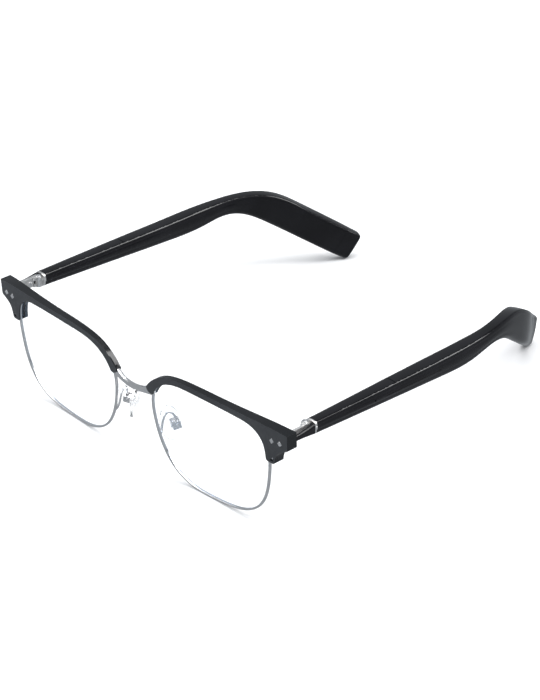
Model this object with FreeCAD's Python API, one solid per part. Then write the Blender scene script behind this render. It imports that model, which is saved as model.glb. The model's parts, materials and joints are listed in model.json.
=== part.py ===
"""Browline smart glasses: a wire-rimmed front with two brow bars, and two hinged temples that hold the electronics.

Everything is drawn in the wearing frame, in millimetres: +X is the wearer's left, +Y runs back along the
temples, +Z is up, and the origin is the middle of the front's leading edge, level with the top of the brow ends.
The last step lays the finished glasses down on their rims and temple tips, as they rest on a table.
"""

import FreeCAD, Part
import math
import os

Vec = FreeCAD.Vector

# ---- Driving dimensions ----------------------------------------------------------------------------------
# Front
FRONT_START = -0.3         # y of the front's leading edge
FACE_RADIUS = 820.0        # horizontal curvature of the front
PANTO_TILT = 4.1           # degrees that the front leans, bottom edge towards the wearer
BROW_DEPTH = 2.1           # brow bar, front to back, at the nose
BROW_BACK_RADIUS = 485.0   # its back face curves more, so the bar is 4.3 deep at the end block
RIVET_X_Z = ((65.3, -3.6), (68.7, -3.4))
RIVET_DIAGONAL = 2.0
RIVET_PROUD = 0.2
# Rims, lenses and bridge
RIM_WIDTH = 0.8            # in the plane of the lens
RIM_DEPTH = 1.1
RIM_SETBACK = 0.5          # from the front of the brow bars to the front of the rims
LENS_THICK = 0.7
LENS_RADIUS = 560.0        # nearly flat lenses
LENS_SAG = 0.22            # how far the middle of the lens stands forward of its edge
LENS_BITE = 0.3            # how far the lens edge sits in the rim's groove
BRIDGE_THICK = 1.3
BRIDGE_BOW_RADIUS = 38.0
# Nose pads
PAD_LENGTH = 13.0
PAD_WIDTH = 7.8
PAD_THICK = 2.0
PAD_CENTRE = Vec(9.3, 9.3, -24.4)
PAD_LONG_AXIS = Vec(0.23, 0.115, -0.966)
PAD_SHORT_AXIS = Vec(0.45, 0.88, 0.0)
PAD_WIRE_RADIUS = 0.42
PAD_SCREW_RADIUS = 0.4
PAD_SCREW_OFFSET = 2.35    # from the pad's mid-plane to its screw
PAD_CORE_SHIFT = 1.2       # the core sits behind the middle of the cushion
CORE_HALF = 1.6
LUG_HALF = 0.9
BOX_WALL = 0.5
BOX_GAP = 0.12
BOX_HALF_LENGTH = 1.35
# Hinges
HINGE_X = 66.9
HINGE_Y = 15.5
BARREL_RADIUS = 1.15
PIN_RADIUS = 0.55
PIN_CLEARANCE = 0.05
HINGE_TOP = -1.1
HINGE_BOTTOM = -4.9
KNUCKLE_GAP = 0.06
LEAF_X = (66.2, 67.3)      # the temple's leaf, inner and outer face
LEAF_Z = (-4.1, -2.1)
LEAF_END = 29.5
LEAF_SCREW_Y = (21.5, 26.5)
STRIP_X = 67.65            # inner face of the steel end piece
STRIP_THICK = 1.0
STRIP_TOP = -1.2
STRIP_BOTTOM = -4.9
COVER_OUTER_X = 70.5
# Temples
TEMPLE_START = 17.0        # front face of the collar
COLLAR_LENGTH = 1.0
WALL = 0.8
LID_DEPTH = 0.9            # thickness of the lid that closes the top of the temple
LID_MARGIN = 0.75          # from the side of the temple to the edge of the lid
LID_GAP = 0.08
CAP_LENGTH = 6.6           # moulded cap on the end of the temple
FLOOR = 1.5                # from the lowest line of the temple to the floor of its hollow
# Electronics in the temples, as y from and to
BOARD_Y = (32.0, 70.0)
CHIPS_Y = ((36.0, 43.0), (48.0, 54.0), (58.0, 66.0))
MICROPHONE_Y = 43.9
SPEAKER_Y = (78.5, 90.0)
GRILLE_Y = (80.0, 88.5)
BATTERY_Y = (115.0, 139.5)
# Where the glasses sit: the two rims and the two temple tips touch the table
REST_TILT = 2.892          # degrees
REST_HEIGHT = 39.933
REST_BACK = -75.122


# ---- Small helpers ---------------------------------------------------------------------------------------
def flat(x, z):
    return Vec(x, 0, z)


def line(a, b):
    return Part.LineSegment(a, b).toShape()


def arc(a, middle, b):
    return Part.Arc(a, middle, b).toShape()


def curve(points, closed=False):
    spline = Part.BSplineCurve()
    spline.interpolate(Points=points, PeriodicFlag=closed)
    return spline.toShape()


def box(low, high):
    return Part.makeBox(high[0] - low[0], high[1] - low[1], high[2] - low[2], Vec(*low))


def rod(start, direction, radius, length):
    return Part.makeCylinder(radius, length, start, direction)


def prism(edges, y_low=-8.0, y_high=14.0):
    """An outline in the XZ plane, pushed through from y_low to y_high."""
    wire = Part.Wire(Part.__sortEdges__(edges))
    wire.translate(Vec(0, y_low, 0))
    return Part.Face(wire).extrude(Vec(0, y_high - y_low, 0))


def leaned(shape):
    """The front leans as one, its lower edge towards the wearer."""
    turned = shape.copy()
    turned.rotate(Vec(0, 0, 0), Vec(1, 0, 0), PANTO_TILT)
    return turned


def curved_slab(shape, y_front, y_back, front_radius=FACE_RADIUS, back_radius=FACE_RADIUS):
    """Keeps what lies between two leaning cylinders, y_front and y_back behind the leading edge."""
    height = 160.0
    front = Part.makeCylinder(front_radius, height, Vec(0, FRONT_START + front_radius + y_front, -80))
    back = Part.makeCylinder(back_radius, height, Vec(0, FRONT_START + back_radius + y_back, -80))
    return shape.common(leaned(front)).cut(leaned(back))


def front_y(x, z=0.0):
    """The front face of the brow bars."""
    return FRONT_START + x * x / (2 * FACE_RADIUS) - z * math.tan(math.radians(PANTO_TILT))


def mirrored(shape):
    return shape.mirror(Vec(0, 0, 0), Vec(1, 0, 0))


def largest(shape):
    """Leaves out the offcuts of a trim."""
    return max(shape.Solids, key=lambda solid: solid.Volume)


def softened(shape, edges, radius):
    """Rounds the given edges, one at a time if they can't be rounded together."""
    try:
        rounded = shape.makeFillet(radius, edges)
        if rounded.isValid():
            return rounded
    except Part.OCCError:
        pass
    return shape


# ---- Front: outlines in the XZ plane, for the wearer's left half -------------------------------------------
OUTLINE_STEPS = 48
RIM_POINTS = [
    (62.9, -10.5), (62.5, -18.2), (60.8, -26.2), (56.8, -33.2), (49.9, -37.5), (42.3, -38.9),
    (34.9, -39.3), (26.6, -38.9), (18.1, -35.2), (12.5, -27.7), (9.7, -18.2), (9.7, -10.4),
    (13.3, -4.4), (19.2, -1.3), (27.0, -0.35), (37.0, -0.2), (47.0, -0.4), (54.0, -0.9), (60.3, -3.6),
]


def rim_outline(offset):
    """The wire's centre line, moved outwards by offset."""
    centre = Part.BSplineCurve()
    centre.interpolate(Points=[flat(x, z) for x, z in RIM_POINTS], PeriodicFlag=True)
    span = centre.LastParameter - centre.FirstParameter
    moved = []
    for i in range(OUTLINE_STEPS):
        t = centre.FirstParameter + span * i / OUTLINE_STEPS
        along = centre.tangent(t)[0]
        moved.append(centre.value(t) + Vec(-along.z, 0, along.x) * offset)
    return Part.Wire([curve(moved, closed=True)])


def rim_disc(offset):
    wire = rim_outline(offset)
    wire.translate(Vec(0, -8, 0))
    return Part.Face(wire).extrude(Vec(0, 22, 0))


def make_lens():
    """A spherical shell, turned to face square to its own part of the front."""
    middle_x, middle_z = 36.2, -19.8
    swing = math.degrees(middle_x / FACE_RADIUS)
    y_front = front_y(middle_x) + RIM_SETBACK + (RIM_DEPTH - LENS_THICK) / 2 - LENS_SAG
    shells = []
    for y_at in (y_front, y_front + LENS_THICK):
        ball = Part.makeSphere(LENS_RADIUS, Vec(0, LENS_RADIUS, 0))
        ball.rotate(Vec(0, 0, 0), Vec(0, 0, 1), swing)
        ball.translate(Vec(middle_x, y_at, middle_z))
        shells.append(leaned(ball))
    blank = rim_disc(-RIM_WIDTH / 2 + LENS_BITE)
    return blank.common(shells[0]).cut(shells[1])


def make_rim(lens):
    ring = rim_disc(RIM_WIDTH / 2).cut(rim_disc(-RIM_WIDTH / 2))
    ring = curved_slab(ring, RIM_SETBACK, RIM_SETBACK + RIM_DEPTH)
    return ring.cut(lens)


def brow_outline():
    """Nose end, long top edge, end block, stepped lug beside the rim, then back under the bar."""
    top = curve([flat(*p) for p in ((7.5, -7.4), (9.3, -5.2), (12.2, -2.6), (16.2, -0.4), (21.8, 0.95),
                                    (30.0, 1.5), (44.0, 1.4), (60.2, 1.3), (66.6, 1.1), (71.9, 0.6))])
    under = curve([flat(*p) for p in ((62.2, -11.4), (61.9, -8.6), (60.9, -5.6), (58.9, -3.3), (56.0, -1.75),
                                      (51.5, -1.05), (42.0, -0.75), (30.0, -0.75), (23.4, -1.05),
                                      (18.6, -2.15), (14.0, -4.9), (11.4, -8.0), (10.7, -9.3))])
    step = curve([flat(*p) for p in ((71.0, -5.5), (69.0, -6.5), (67.4, -7.8), (66.6, -9.4), (66.1, -11.5))])
    return [
        top,
        line(flat(71.9, 0.6), flat(71.75, -4.6)),
        arc(flat(71.75, -4.6), flat(71.6, -5.15), flat(71.0, -5.5)),
        step,
        arc(flat(66.1, -11.5), flat(65.8, -12.2), flat(65.1, -12.5)),
        line(flat(65.1, -12.5), flat(63.2, -12.4)),
        arc(flat(63.2, -12.4), flat(62.5, -12.1), flat(62.2, -11.4)),
        under,
        arc(flat(10.7, -9.3), flat(8.9, -9.45), flat(7.5, -7.4)),
    ]


def make_brow_bar(rivets):
    bar = curved_slab(prism(brow_outline()), 0.0, BROW_DEPTH, FACE_RADIUS, BROW_BACK_RADIUS)
    seat = curved_slab(rim_disc(RIM_WIDTH / 2), RIM_SETBACK, RIM_SETBACK + RIM_DEPTH)
    return bar.cut(seat).cut(lock_pocket()).cut(rivets)


def make_rivets():
    """Two square studs set corner-up, with round shanks that run through to the end piece."""
    studs = []
    half = RIVET_DIAGONAL / 2
    for x, z in RIVET_X_Z:
        corners = [flat(x + dx * half, z + dz * half) for dx, dz in ((1, 0), (0, 1), (-1, 0), (0, -1))]
        edges = [line(corners[i], corners[(i + 1) % 4]) for i in range(4)]
        y = front_y(x, z) - RIVET_PROUD
        head = prism(edges, y, y + 0.8)
        front_rim = [edge for edge in head.Edges if edge.BoundBox.YMax < y + 0.01]
        head = head.makeChamfer(0.12, front_rim)
        shank = rod(Vec(x, y + 0.6, z), Vec(0, 1, 0), 0.5, 4.2)
        studs.append(head.fuse(shank))
    return Part.makeCompound(studs)


def make_bridge(brow):
    """A flat strip between the rims, lowest in the middle, bowed a little forwards."""
    top = curve([flat(*p) for p in ((-10.4, -5.4), (-8.5, -6.9), (-6.5, -8.2), (-3.5, -9.2), (0, -9.5),
                                    (3.5, -9.2), (6.5, -8.2), (8.5, -6.9), (10.4, -5.4))])
    under = curve([flat(*p) for p in ((-10.2, -10.6), (-5.0, -10.9), (0, -11.3), (5.0, -10.9), (10.2, -10.6))])
    ends = [line(flat(s * 10.4, -5.4), flat(s * 10.2, -10.6)) for s in (-1, 1)]
    strip = prism([top, under] + ends)
    bow_y = front_y(0) + RIM_SETBACK - 0.85 + BRIDGE_BOW_RADIUS
    outer = Part.makeCylinder(BRIDGE_BOW_RADIUS, 60, Vec(0, bow_y, -40))
    inner = Part.makeCylinder(BRIDGE_BOW_RADIUS, 60, Vec(0, bow_y + BRIDGE_THICK, -40))
    strip = strip.common(leaned(outer)).cut(leaned(inner))
    within_rims = rim_disc(RIM_WIDTH / 2)
    for half in (within_rims, mirrored(within_rims), brow, mirrored(brow)):
        strip = strip.cut(half)
    return largest(strip)


# ---- Rim lock and end piece --------------------------------------------------------------------------------
LOCK_X = (63.05, 65.3)
LOCK_Y = (3.15, 5.6)
LOCK_SPLIT_Z = -8.7
LOCK_HEIGHT = 2.1
LOCK_SCREW_X = 64.2
LOCK_SCREW_Y = 4.4


def make_rim_lock():
    """The block that closes the rim, split across the middle, half on each end of the wire."""
    inside = rim_disc(RIM_WIDTH / 2)
    halves = []
    for low, high in ((LOCK_SPLIT_Z + 0.05, LOCK_SPLIT_Z + LOCK_HEIGHT), (LOCK_SPLIT_Z - LOCK_HEIGHT, LOCK_SPLIT_Z - 0.05)):
        half = box((LOCK_X[0], LOCK_Y[0], low), (LOCK_X[1], LOCK_Y[1], high))
        halves.append(half.cut(inside).cut(make_rim_screw()))
    return Part.makeCompound(halves)


def make_rim_screw():
    foot = Vec(LOCK_SCREW_X, LOCK_SCREW_Y, LOCK_SPLIT_Z - LOCK_HEIGHT)
    shank = rod(foot, Vec(0, 0, 1), 0.4, 2 * LOCK_HEIGHT - 0.4)
    head = rod(foot - Vec(0, 0, 0.45), Vec(0, 0, 1), 0.75, 0.75)
    slot = box((foot.x - 1, foot.y - 0.12, foot.z - 0.5), (foot.x + 1, foot.y + 0.12, foot.z - 0.2))
    return shank.fuse(head).cut(slot)


def lock_pocket():
    """The hollow in the back of the lug that clears the rim lock."""
    gap = 0.12
    return box((LOCK_X[0] - 2 * gap, LOCK_Y[0] - gap, LOCK_SPLIT_Z - LOCK_HEIGHT - 0.7),
               (LOCK_X[1] + gap, 14, LOCK_SPLIT_Z + LOCK_HEIGHT + 4.5))


def make_end_piece(rivets):
    """A plate behind the brow end, a tab to the rim lock, a strip running back, and the two fixed knuckles."""
    outer_x = STRIP_X + STRIP_THICK
    plate = box((LOCK_X[0] + 0.1, 0, -5.9), (outer_x, 14, STRIP_TOP - 0.2))
    plate = curved_slab(plate, BROW_DEPTH, BROW_DEPTH + 1.0, BROW_BACK_RADIUS, BROW_BACK_RADIUS)
    tab = box((LOCK_X[0] + 0.1, LOCK_Y[1] - 0.6, LOCK_SPLIT_Z + LOCK_HEIGHT), (LOCK_X[1] - 0.1, 6.8, -4.0))
    strip_end = HINGE_Y - BARREL_RADIUS - 0.3
    strip = box((STRIP_X, 7.3, STRIP_BOTTOM), (outer_x, strip_end, STRIP_TOP))
    piece = plate.fuse(strip).fuse(tab)
    for low, high in fixed_knuckles():
        barrel = rod(Vec(HINGE_X, HINGE_Y, low), Vec(0, 0, 1), BARREL_RADIUS, high - low)
        web = box((HINGE_X, strip_end - 0.5, low), (outer_x, HINGE_Y + 0.3, high))
        piece = piece.fuse(barrel).fuse(web)
    pin_hole = rod(Vec(HINGE_X, HINGE_Y, HINGE_BOTTOM - 1), Vec(0, 0, 1), PIN_RADIUS, 8)
    return piece.removeSplitter().cut(pin_hole).cut(rivets).cut(make_end_screws())


def fixed_knuckles():
    third = (HINGE_TOP - HINGE_BOTTOM) / 3
    return ((HINGE_BOTTOM, HINGE_BOTTOM + third), (HINGE_TOP - third, HINGE_TOP))


def make_hinge_screw():
    head = rod(Vec(HINGE_X, HINGE_Y, HINGE_TOP), Vec(0, 0, 1), 0.95, 0.4)
    slot = box((HINGE_X - 1.2, HINGE_Y - 0.13, HINGE_TOP + 0.2), (HINGE_X + 1.2, HINGE_Y + 0.13, HINGE_TOP + 1))
    shank = rod(Vec(HINGE_X, HINGE_Y, HINGE_BOTTOM), Vec(0, 0, 1), PIN_RADIUS, HINGE_TOP - HINGE_BOTTOM)
    return head.cut(slot).fuse(shank)


def make_end_cover(brow, rivets):
    """The black outer arm: a bar with a rounded shoulder that carries the temple's line to the brow end."""
    inner_x = STRIP_X + STRIP_THICK
    outer_x = COVER_OUTER_X

    def section(y, low, high):
        return Part.Wire([
            line(Vec(inner_x, y, high), Vec(outer_x - 0.7, y, high)),
            arc(Vec(outer_x - 0.7, y, high), Vec(outer_x - 0.2, y, high - 0.2), Vec(outer_x, y, high - 0.7)),
            line(Vec(outer_x, y, high - 0.7), Vec(outer_x, y, low + 0.8)),
            arc(Vec(outer_x, y, low + 0.8), Vec(outer_x - 0.24, y, low + 0.24), Vec(outer_x - 0.8, y, low)),
            line(Vec(outer_x - 0.8, y, low), Vec(inner_x, y, low)),
            line(Vec(inner_x, y, low), Vec(inner_x, y, high)),
        ])

    arm = loft([section(6.0, -4.3, -2.05), section(12.0, -4.45, -1.95), section(TEMPLE_START - 0.2, -4.95, -1.3)])
    return arm.cut(brow).cut(rivets).cut(make_end_screws())


def make_end_screws():
    """Two small screws through the steel strip into the cover."""
    screws = []
    for y in (9.4, 12.2):
        head = rod(Vec(STRIP_X - 0.25, y, -3.1), Vec(1, 0, 0), 0.6, 0.45)
        shank = rod(Vec(STRIP_X, y, -3.1), Vec(1, 0, 0), 0.35, STRIP_THICK + 1.2)
        slot = box((STRIP_X - 0.4, y - 0.1, -3.9), (STRIP_X - 0.12, y + 0.1, -2.3))
        screws.append(head.fuse(shank).cut(slot))
    return Part.makeCompound(screws)


# ---- Nose pads ---------------------------------------------------------------------------------------------
def pad_frame():
    """Long axis (down the nose), short axis (front to back) and the axis that points away from the nose."""
    long_axis = Vec(PAD_LONG_AXIS)
    long_axis.normalize()
    short_axis = PAD_SHORT_AXIS - long_axis * PAD_SHORT_AXIS.dot(long_axis)
    short_axis.normalize()
    return long_axis, short_axis, long_axis.cross(short_axis)


def core_centre():
    """The middle of the core: the cushion is drawn round it, off centre."""
    return PAD_CENTRE + pad_frame()[1] * PAD_CORE_SHIFT


def on_pad(shape):
    """From pad axes (X short and forwards, Y long and down, Z outward) to the glasses."""
    long_axis, short_axis, outward = pad_frame()
    middle = core_centre()
    matrix = FreeCAD.Matrix(
        -short_axis.x, long_axis.x, outward.x, middle.x,
        -short_axis.y, long_axis.y, outward.y, middle.y,
        -short_axis.z, long_axis.z, outward.z, middle.z,
        0, 0, 0, 1)
    placed = shape.copy()
    placed.Placement = FreeCAD.Placement(matrix)
    return placed


def pad_point(short, long, out):
    long_axis, short_axis, outward = pad_frame()
    return core_centre() + short_axis * short + long_axis * long + outward * out


def make_nose_pad():
    """Clear oval cushion, moulded round the metal core."""
    oval = Part.Ellipse(Vec(0, 0, 0), PAD_LENGTH / 2, PAD_WIDTH / 2).toShape()
    wire = Part.Wire([oval])
    wire.rotate(Vec(0, 0, 0), Vec(0, 0, 1), 90)
    wire.translate(Vec(PAD_CORE_SHIFT, 0, -PAD_THICK / 2))
    body = Part.Face(wire).extrude(Vec(0, 0, PAD_THICK))
    body = softened(body, body.Edges, 0.85)
    return on_pad(body.cut(pad_core_shape()))


def pad_core_shape():
    plate = box((-CORE_HALF, -CORE_HALF, -0.1), (CORE_HALF, CORE_HALF, PAD_THICK / 2 + 0.1))
    lug = box((-LUG_HALF, -0.9, 0.5), (LUG_HALF, 0.9, PAD_SCREW_OFFSET))
    eye = rod(Vec(-LUG_HALF, 0, PAD_SCREW_OFFSET), Vec(1, 0, 0), 0.9, 2 * LUG_HALF)
    hole = rod(Vec(-3, 0, PAD_SCREW_OFFSET), Vec(1, 0, 0), PAD_SCREW_RADIUS + PIN_CLEARANCE, 6)
    return plate.fuse(lug).fuse(eye).cut(hole)


def make_pad_core():
    return on_pad(pad_core_shape())


def pad_box_shape():
    """The open steel box that the core's lug sits in."""
    inner = LUG_HALF + BOX_GAP
    outer = inner + BOX_WALL
    floor = PAD_SCREW_OFFSET + 0.9 + 0.25
    low = PAD_THICK / 2 + 0.45
    shell = box((-outer, -BOX_HALF_LENGTH, low), (outer, BOX_HALF_LENGTH, floor + 0.5))
    hollow = box((-inner, -2, low - 1), (inner, 2, floor))
    return shell.cut(hollow)


def pad_screw_shape():
    reach = LUG_HALF + BOX_GAP + BOX_WALL
    shank = rod(Vec(-reach, 0, PAD_SCREW_OFFSET), Vec(1, 0, 0), PAD_SCREW_RADIUS, 2 * reach)
    head = rod(Vec(reach, 0, PAD_SCREW_OFFSET), Vec(1, 0, 0), 0.7, 0.35)
    slot = box((reach + 0.2, -1, PAD_SCREW_OFFSET - 0.1), (reach + 1, 1, PAD_SCREW_OFFSET + 0.1))
    return shank.fuse(head.cut(slot))


def make_pad_box():
    return on_pad(pad_box_shape().cut(pad_screw_shape()))


def make_pad_screw():
    return on_pad(pad_screw_shape())


def make_pad_arm(rim, pad_box):
    """A bent wire: from the back of the rim, up and over in a hairpin, down to the pad box."""
    route = [
        Vec(11.3, 2.9, -25.6),
        Vec(10.75, 4.3, -22.6),
        Vec(10.8, 5.4, -19.6),
        Vec(11.1, 6.8, -18.5),
        Vec(11.9, 8.3, -19.7),
        Vec(12.5, 9.0, -22.2),
        pad_point(0, 0, PAD_SCREW_OFFSET + 1.5),
    ]
    path = Part.Wire([curve(route)])
    start = path.Edges[0].tangentAt(path.Edges[0].FirstParameter)
    section = Part.Wire([Part.Circle(route[0], start, PAD_WIRE_RADIUS).toShape()])
    return largest(path.makePipeShell([section], True, True).cut(rim).cut(pad_box))


# ---- Temples -----------------------------------------------------------------------------------------------
# Stations along the wearer's left temple: middle of the section (x, y, z), its height and its width.
STATIONS = (
    (68.0, 17.0, -3.4, 5.1, 4.5),
    (67.9, 36.0, -3.8, 5.9, 5.1),
    (67.7, 56.0, -4.2, 6.8, 5.6),
    (67.5, 76.0, -4.6, 7.7, 5.8),
    (67.2, 92.0, -4.4, 7.7, 5.5),
    (66.1, 103.0, -3.7, 6.5, 5.0),
    (63.9, 112.0, -4.7, 8.2, 5.2),
    (60.6, 121.0, -8.2, 11.0, 5.7),
    (56.3, 131.0, -15.1, 11.6, 5.6),
    (49.5, 141.0, -22.5, 11.6, 5.2),
    (44.65, 149.2, -28.3, 11.0, 4.7),
)
TIP_Y = STATIONS[-1][1]
SECTIONS = 24              # sections lofted through, evenly spaced along the temple


def through_stations(points):
    """A smooth curve through one point for each station, with the station's y as its parameter."""
    spline = Part.BSplineCurve()
    spline.interpolate(Points=points, Parameters=[station[1] for station in STATIONS])
    return spline


SPINE = through_stations([Vec(*station[:3]) for station in STATIONS])
GIRTH = through_stations([Vec(station[3], station[4], 0) for station in STATIONS])


def even_sections():
    """The y values that divide the spine into equal lengths."""
    edge = SPINE.toShape()
    return [edge.getParameterByLength(edge.Length * i / (SECTIONS - 1)) for i in range(SECTIONS)]


SHOULDER = 1.5
CROWN = 0.12


def section_frame(y):
    """Middle of the section, across the temple (outwards, level), up its side, and along it."""
    along = SPINE.tangent(y)[0]
    across = Vec(along.y, -along.x, 0)
    across.normalize()
    return SPINE.value(y), across, across.cross(along), along


def at_section(y, u, v, s=0.0):
    middle, across, up, along = section_frame(y)
    return middle + across * u + up * v + along * s


def half_girth(y):
    girth = GIRTH.value(y)
    return girth.x / 2, girth.y / 2


def temple_section(y):
    """Flat top, small shoulders, slightly barrelled sides and a rounded underside."""
    half_h, half_w = half_girth(y)
    flat_half = half_w - 0.62
    low = half_w * 0.95

    def at(u, v):
        return at_section(y, u, v)

    edges = [
        arc(at(-flat_half, half_h), at(0, half_h + CROWN), at(flat_half, half_h)),
        arc(at(flat_half, half_h), at(half_w - 0.26, half_h - 0.42), at(half_w - 0.06, half_h - SHOULDER)),
        arc(at(half_w - 0.06, half_h - SHOULDER), at(half_w + 0.02, 0), at(half_w - 0.3, -half_h + low)),
        arc(at(half_w - 0.3, -half_h + low), at(0, -half_h), at(-half_w + 0.3, -half_h + low)),
        arc(at(-half_w + 0.3, -half_h + low), at(-half_w - 0.02, 0), at(-half_w + 0.06, half_h - SHOULDER)),
        arc(at(-half_w + 0.06, half_h - SHOULDER), at(-half_w + 0.26, half_h - 0.42), at(-flat_half, half_h)),
    ]
    return Part.Wire(edges)


def rectangle(y, u_low, u_high, v_low, v_high, s=0.0):
    corners = [at_section(y, u, v, s) for u, v in
               ((u_low, v_low), (u_high, v_low), (u_high, v_high), (u_low, v_high))]
    return Part.Wire([line(corners[i], corners[(i + 1) % 4]) for i in range(4)])


def loft(wires):
    return Part.makeLoft(wires, True, False)


def temple_outer():
    body = loft([temple_section(y) for y in even_sections()])
    end_face = min(body.Faces, key=lambda face: face.CenterOfMass.distanceToPoint(SPINE.value(TIP_Y)))
    return softened(body, end_face.Edges, 1.1)


def cap_cutter():
    """Everything behind the seam of the end cap."""
    return loft([rectangle(TIP_Y, -30, 30, -30, 30, -CAP_LENGTH), rectangle(TIP_Y, -30, 30, -30, 30, 20)])


def lid_cutter(gap=0.0):
    wires = []
    for y in even_sections():
        top, side = half_girth(y)
        half = side - LID_MARGIN + gap
        wires.append(rectangle(y, -half, half, top - LID_DEPTH - gap, top + 2))
    return loft(wires)


def temple_hollow():
    """The space inside: from behind the collar to the seam of the cap, open to the lid."""
    wires = []
    for y in even_sections():
        top, side = half_girth(y)
        wires.append(rectangle(y, WALL - side, side - WALL, WALL + 0.7 - top, top - LID_DEPTH))
    return loft(wires)


def behind(y):
    return box((20, y, -60), (90, 200, 20))


def in_front_of(y):
    return box((20, -20, -60), (90, y, 20))


def swept(y_low, y_high, profile):
    """A bar along the temple; profile gives its u_low, u_high, v_low and v_high at y."""
    count = max(2, math.ceil((y_high - y_low) / 6) + 1)
    ys = [y_low + (y_high - y_low) * i / (count - 1) for i in range(count)]
    return loft([rectangle(y, *profile(*half_girth(y))) for y in ys])


def make_hinge_leaf(screws):
    """The moving knuckle, a web through the collar and a strip inside the temple."""
    third = (HINGE_TOP - HINGE_BOTTOM) / 3
    low = HINGE_BOTTOM + third + KNUCKLE_GAP
    high = HINGE_TOP - third - KNUCKLE_GAP
    knuckle = rod(Vec(HINGE_X, HINGE_Y, low), Vec(0, 0, 1), BARREL_RADIUS, high - low)
    web = box((LEAF_X[0], HINGE_Y, low), (LEAF_X[1], TEMPLE_START + COLLAR_LENGTH + 0.5, high))
    strip = box((LEAF_X[0], TEMPLE_START + COLLAR_LENGTH, LEAF_Z[0]), (LEAF_X[1], LEAF_END, LEAF_Z[1]))
    bore = rod(Vec(HINGE_X, HINGE_Y, low - 1), Vec(0, 0, 1), PIN_RADIUS + PIN_CLEARANCE, high - low + 2)
    return knuckle.fuse(web).fuse(strip).removeSplitter().cut(bore).cut(screws)


def make_leaf_screws():
    screws = []
    middle_z = (LEAF_Z[0] + LEAF_Z[1]) / 2
    for y in LEAF_SCREW_Y:
        head = rod(Vec(LEAF_X[1], y, middle_z), Vec(1, 0, 0), 0.7, 0.4)
        slot = box((LEAF_X[1] + 0.2, y - 0.1, middle_z - 1), (LEAF_X[1] + 1, y + 0.1, middle_z + 1))
        shank = rod(Vec(LEAF_X[0] - 0.3, y, middle_z), Vec(1, 0, 0), 0.35, LEAF_X[1] - LEAF_X[0] + 0.4)
        screws.append(shank.fuse(head.cut(slot)))
    return Part.makeCompound(screws)


def make_circuit_board(hollow):
    """A narrow board against the inner wall, with three chips on it."""
    board = swept(*BOARD_Y, lambda top, side: (-side, WALL + 0.5 - side, -1.3, 1.5))
    for low, high in CHIPS_Y:
        board = board.fuse(swept(low, high, lambda top, side: (WALL + 0.3 - side, WALL + 1.3 - side, -0.9, 1.1)))
    return board.common(hollow)


def make_microphone(hollow):
    side = half_girth(MICROPHONE_Y)[1]
    across = section_frame(MICROPHONE_Y)[1]
    return rod(at_section(MICROPHONE_Y, side - WALL - 1.0, 0.55), across, 1.0, 1.2).common(hollow)


def make_speaker(hollow):
    """A driver on the floor of the temple: a rounded box with a round magnet on top."""
    frame = swept(*SPEAKER_Y, lambda top, side: (WALL + 0.3 - side, side - WALL - 0.3, -top, 0.2))
    middle_y = sum(SPEAKER_Y) / 2
    up = section_frame(middle_y)[2]
    magnet = rod(at_section(middle_y, 0, 0.1), up, 1.4, 1.1)
    return frame.fuse(magnet).common(hollow)


def grille_opening():
    return swept(*GRILLE_Y, lambda top, side: (-0.9, 0.9, -top - 1, FLOOR + 0.1 - top))


def make_speaker_grille():
    """A thin plate with five slots, set into the underside."""
    plate = swept(*GRILLE_Y, lambda top, side: (-0.9, 0.9, 0.35 - top, 0.85 - top))
    for i in range(5):
        y = GRILLE_Y[0] + 1.2 + 1.5 * i
        plate = plate.cut(swept(y, y + 0.6, lambda top, side: (-0.6, 0.6, -top, 2 - top)))
    return plate


def make_battery(hollow):
    """A slim cell that fills the paddle."""
    cell = swept(*BATTERY_Y, lambda top, side: (WALL + 0.2 - side, side - WALL - 0.2, -top, top - LID_DEPTH - 0.3))
    return cell.common(hollow)


def make_flex_cable(hollow):
    """A ribbon along the inner wall, from the board to the cell."""
    ribbon = swept(BOARD_Y[1], BATTERY_Y[0], lambda top, side: (-side, WALL + 0.15 - side, -0.7, 0.7))
    return ribbon.common(hollow)


def make_charging_contacts():
    pins = []
    along = section_frame(TIP_Y)[3]
    for v in (-1.7, 1.7):
        pins.append(rod(at_section(TIP_Y, 0, v, -1.4), along, 0.75, 1.35))
    return Part.makeCompound(pins)


def surface_details():
    """Microphone port and fine groove on the outer side, and a fine notch across the top."""
    side = half_girth(MICROPHONE_Y)[1]
    across = section_frame(MICROPHONE_Y)[1]
    port = rod(at_section(MICROPHONE_Y, side - WALL - 0.3, 0.55), across, 0.35, 3)
    groove = swept(49.0, 75.0, lambda top, side: (side - 0.18, side + 1, 0.4, 0.7))
    notch = swept(53.65, 53.95, lambda top, side: (-side - 1, side + 1, top - 0.15, top + 1))
    return [port, groove, notch]


def make_temple():
    outer = temple_outer()
    hollow = temple_hollow()
    contacts = make_charging_contacts()
    screws = make_leaf_screws()
    leaf = make_hinge_leaf(screws)
    front_end = in_front_of(TEMPLE_START + COLLAR_LENGTH)
    barrel = outer.cut(cap_cutter())
    body = barrel.cut(front_end)
    shell = body.cut(lid_cutter(LID_GAP)).cut(hollow)
    lid = body.common(lid_cutter())
    for detail in surface_details():
        shell = shell.cut(detail)
        lid = lid.cut(detail)
    return {
        "hinge_leaf": leaf,
        "leaf_screws": screws,
        "temple_collar": barrel.common(front_end).cut(leaf),
        "temple_shell": shell.cut(grille_opening()).cut(leaf).cut(screws),
        "temple_lid": lid,
        "tip_cap": outer.common(cap_cutter()).cut(contacts),
        "circuit_board": make_circuit_board(hollow),
        "microphone": make_microphone(hollow),
        "speaker": make_speaker(hollow),
        "speaker_grille": make_speaker_grille(),
        "flex_cable": make_flex_cable(hollow),
        "battery": make_battery(hollow),
        "charging_contacts": contacts,
    }


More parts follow.
